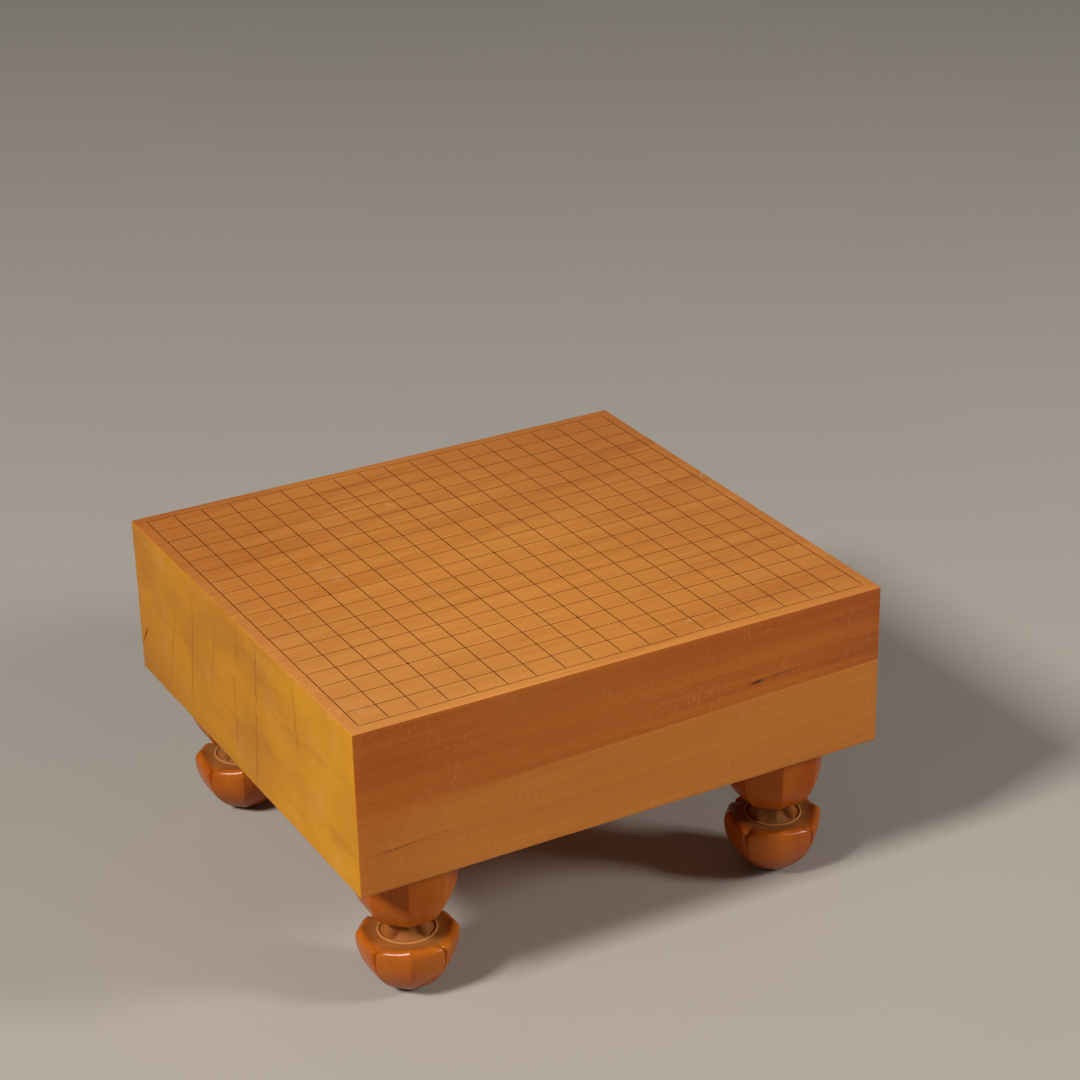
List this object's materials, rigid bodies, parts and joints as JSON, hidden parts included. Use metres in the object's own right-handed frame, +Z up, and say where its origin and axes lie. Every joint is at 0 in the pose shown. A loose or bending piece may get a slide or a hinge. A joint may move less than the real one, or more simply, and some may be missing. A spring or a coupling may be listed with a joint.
{
  "type": "go board",
  "caption": "Thick solid wooden floor board for the game of go, with a raised lacquered line grid on top, standing on carved eight-sided fruit-shaped legs that pull out of its underside.",
  "frame": {"origin": "on the floor, under the middle of the block", "axes": "+X along the grain and the longer side of the block, +Y across the grain, +Z up"},
  "size_m": [0.455, 0.424, 0.2602],
  "materials": {
    "board_wood": "honey-brown oiled solid wood, straight fine grain, satin",
    "leg_wood": "red-brown carved wood, glossy clear lacquer",
    "line_lacquer": "dark brown-black lacquer, slightly raised, worn in places"
  },
  "bodies": {
    "board": {"board_block": "board_wood", "lines_along_grain": "line_lacquer", "lines_across_grain": "line_lacquer", "star_points": "line_lacquer"},
    "leg_front_left": {"leg_front_left": "leg_wood"},
    "leg_front_right": {"leg_front_right": "leg_wood"},
    "leg_back_left": {"leg_back_left": "leg_wood"},
    "leg_back_right": {"leg_back_right": "leg_wood"}
  },
  "joints": [
    {"name": "pull_front_left", "type": "slide", "parent": "board", "child": "leg_front_left", "axis": [0, 0, -1], "range_m": [0, 0.042]},
    {"name": "pull_front_right", "type": "slide", "parent": "board", "child": "leg_front_right", "axis": [0, 0, -1], "range_m": [0, 0.042]},
    {"name": "pull_back_left", "type": "slide", "parent": "board", "child": "leg_back_left", "axis": [0, 0, -1], "range_m": [0, 0.042]},
    {"name": "pull_back_right", "type": "slide", "parent": "board", "child": "leg_back_right", "axis": [0, 0, -1], "range_m": [0, 0.042]}
  ]
}
